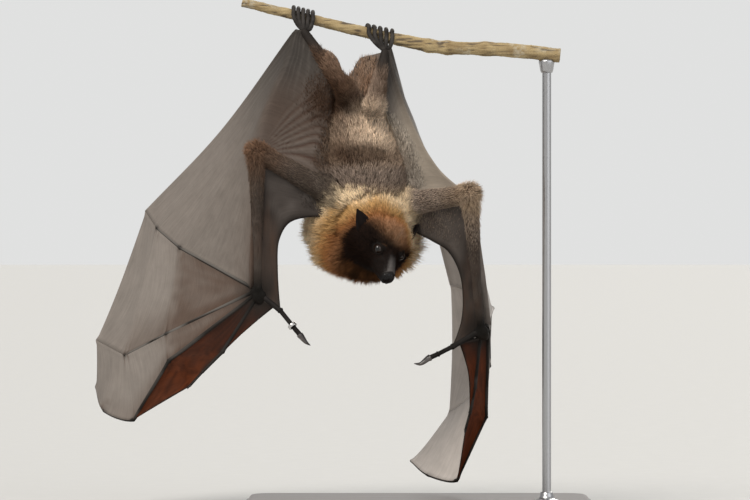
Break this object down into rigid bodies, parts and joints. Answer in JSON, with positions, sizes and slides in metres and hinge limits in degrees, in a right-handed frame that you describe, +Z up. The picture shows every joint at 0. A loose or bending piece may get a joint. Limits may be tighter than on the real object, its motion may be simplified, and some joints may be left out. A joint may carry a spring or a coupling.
{
  "type": "fruit bat",
  "caption": "Life-size model of a golden-maned fruit bat with half-open grey wings, hanging by its feet from a cut branch on a plain display stand.",
  "frame": {"origin": "under the middle of the stand's base, on the floor", "axes": "+Z up; the bat's back faces -Y and its hands swing back to +Y; its right wing reaches to -X and its left wing to +X"},
  "size_m": [0.4599, 0.2829, 0.466],
  "materials": {
    "back_fur": "dense grizzled brown-grey fur, lighter tan in the middle of the back, with a dark band across the shoulders",
    "mantle_fur": "long soft fur, cream-gold at the rim and orange-brown near the face",
    "face_fur": "short near-black fur, reddish brown on the forehead",
    "arm_fur": "short dark fur over grey skin, reddish brown at the elbows and thighs",
    "wing_skin": "thin grey-black wing skin with fine striations and a dull sheen",
    "bare_skin": "dark bare skin, creased at the joints",
    "claw": "dark polished horn, paler on top",
    "eye": "glossy very dark brown",
    "ring_metal": "plain worn metal band, open on one side",
    "bark": "tan-grey twig bark with small knots and lichen spots",
    "stand_wood": "dark stained wood, satin varnish",
    "stand_steel": "plain round steel rod, satin"
  },
  "bodies": {
    "root": {"head": "face_fur", "eye_left": "eye", "eye_right": "eye", "ear_left": "bare_skin", "ear_right": "bare_skin", "neck": "mantle_fur", "trunk": "back_fur", "upper_arm_right": "arm_fur", "forearm_right": "arm_fur", "thumb_right": "bare_skin", "thumb_claw_right": "claw", "finger_2_right": "bare_skin", "finger_3_right": "bare_skin", "finger_4_right": "bare_skin", "finger_5_right": "bare_skin", "thigh_right": "arm_fur", "shin_right": "arm_fur", "foot_right": "bare_skin", "wing_membrane_right": "wing_skin", "hand_membrane_5_4_right": "wing_skin", "hand_membrane_4_3_right": "wing_skin", "hand_membrane_3_2_right": "wing_skin", "thumb_membrane_right": "wing_skin", "fore_membrane_right": "wing_skin", "leg_membrane_right": "wing_skin", "upper_arm_left": "arm_fur", "forearm_left": "arm_fur", "thumb_left": "bare_skin", "thumb_claw_left": "claw", "finger_2_left": "bare_skin", "finger_3_left": "bare_skin", "finger_4_left": "bare_skin", "finger_5_left": "bare_skin", "thigh_left": "arm_fur", "shin_left": "arm_fur", "foot_left": "bare_skin", "wing_membrane_left": "wing_skin", "hand_membrane_5_4_left": "wing_skin", "hand_membrane_4_3_left": "wing_skin", "hand_membrane_3_2_left": "wing_skin", "thumb_membrane_left": "wing_skin", "fore_membrane_left": "wing_skin", "leg_membrane_left": "wing_skin", "thumb_ring": "ring_metal", "perch": "bark", "stand_base": "stand_wood", "stand_rod": "stand_steel"}
  },
  "joints": []
}
